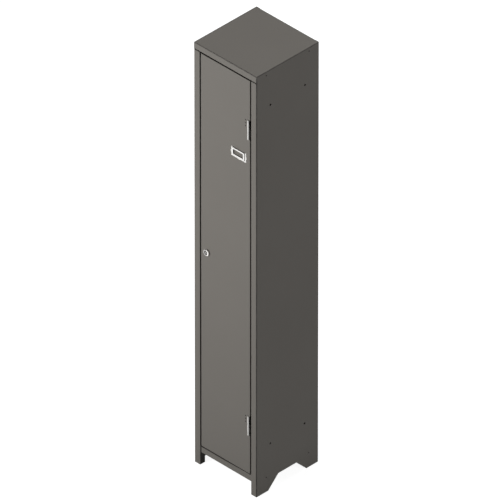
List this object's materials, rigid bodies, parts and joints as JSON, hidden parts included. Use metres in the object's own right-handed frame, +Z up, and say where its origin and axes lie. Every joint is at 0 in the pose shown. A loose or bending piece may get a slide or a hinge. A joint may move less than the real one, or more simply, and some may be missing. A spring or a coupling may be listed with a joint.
{
  "type": "single locker",
  "caption": "Tall slim sheet-steel locker on short folded legs, with a hinged door, cam lock and label holder, and a hat shelf and coat hook inside.",
  "frame": {"origin": "on the floor, under the middle of the locker's bounding box", "axes": "+Z up, +X to the right as seen from the front, +Y from the door to the back"},
  "size_m": [0.305, 0.3124, 1.785],
  "materials": {
    "grey_powder_coat": "satin powder coat",
    "dark_rivet_steel": "dark oxide",
    "zinc_plate": "bright zinc plate",
    "bright_nickel": "polished nickel",
    "black_rubber": "matt"
  },
  "bodies": {
    "carcass": {"left_side_panel": "grey_powder_coat", "right_side_panel": "grey_powder_coat", "back_panel": "grey_powder_coat", "top_panel": "grey_powder_coat", "bottom_panel": "grey_powder_coat", "hat_shelf": "grey_powder_coat", "left_shelf_bracket": "grey_powder_coat", "right_shelf_bracket": "grey_powder_coat", "top_panel_rivets": "dark_rivet_steel", "bottom_panel_rivets": "dark_rivet_steel", "back_panel_rivets": "dark_rivet_steel", "shelf_rivets": "dark_rivet_steel", "coat_hook_rivets": "dark_rivet_steel", "hinge_frame_rivets": "dark_rivet_steel", "upper_hinge_frame_leaf": "zinc_plate", "lower_hinge_frame_leaf": "zinc_plate", "upper_hinge_pin": "zinc_plate", "lower_hinge_pin": "zinc_plate", "hinge_washers": "zinc_plate", "coat_hook": "zinc_plate", "door_buffers": "black_rubber"},
    "door": {"door_panel": "grey_powder_coat", "door_stiffener": "grey_powder_coat", "upper_hinge_door_leaf": "zinc_plate", "lower_hinge_door_leaf": "zinc_plate", "hinge_door_rivets": "dark_rivet_steel", "label_holder": "bright_nickel", "label_holder_rivets": "bright_nickel", "lock_housing": "bright_nickel", "lock_nut": "zinc_plate"},
    "lock": {"lock_plug": "bright_nickel", "lock_cam": "zinc_plate", "cam_washer": "zinc_plate", "cam_screw": "zinc_plate"}
  },
  "joints": [
    {"name": "door_hinge", "type": "hinge", "parent": "carcass", "child": "door", "pos_m": [0.1129, -0.14975, 0.9128], "axis": [0, 0, 1], "range_deg": [0, 165]},
    {"name": "lock_turn", "type": "hinge", "parent": "door", "child": "lock", "pos_m": [-0.0895, -0.1386, 0.92805], "axis": [0, 1, 0], "range_deg": [0, 90]}
  ]
}
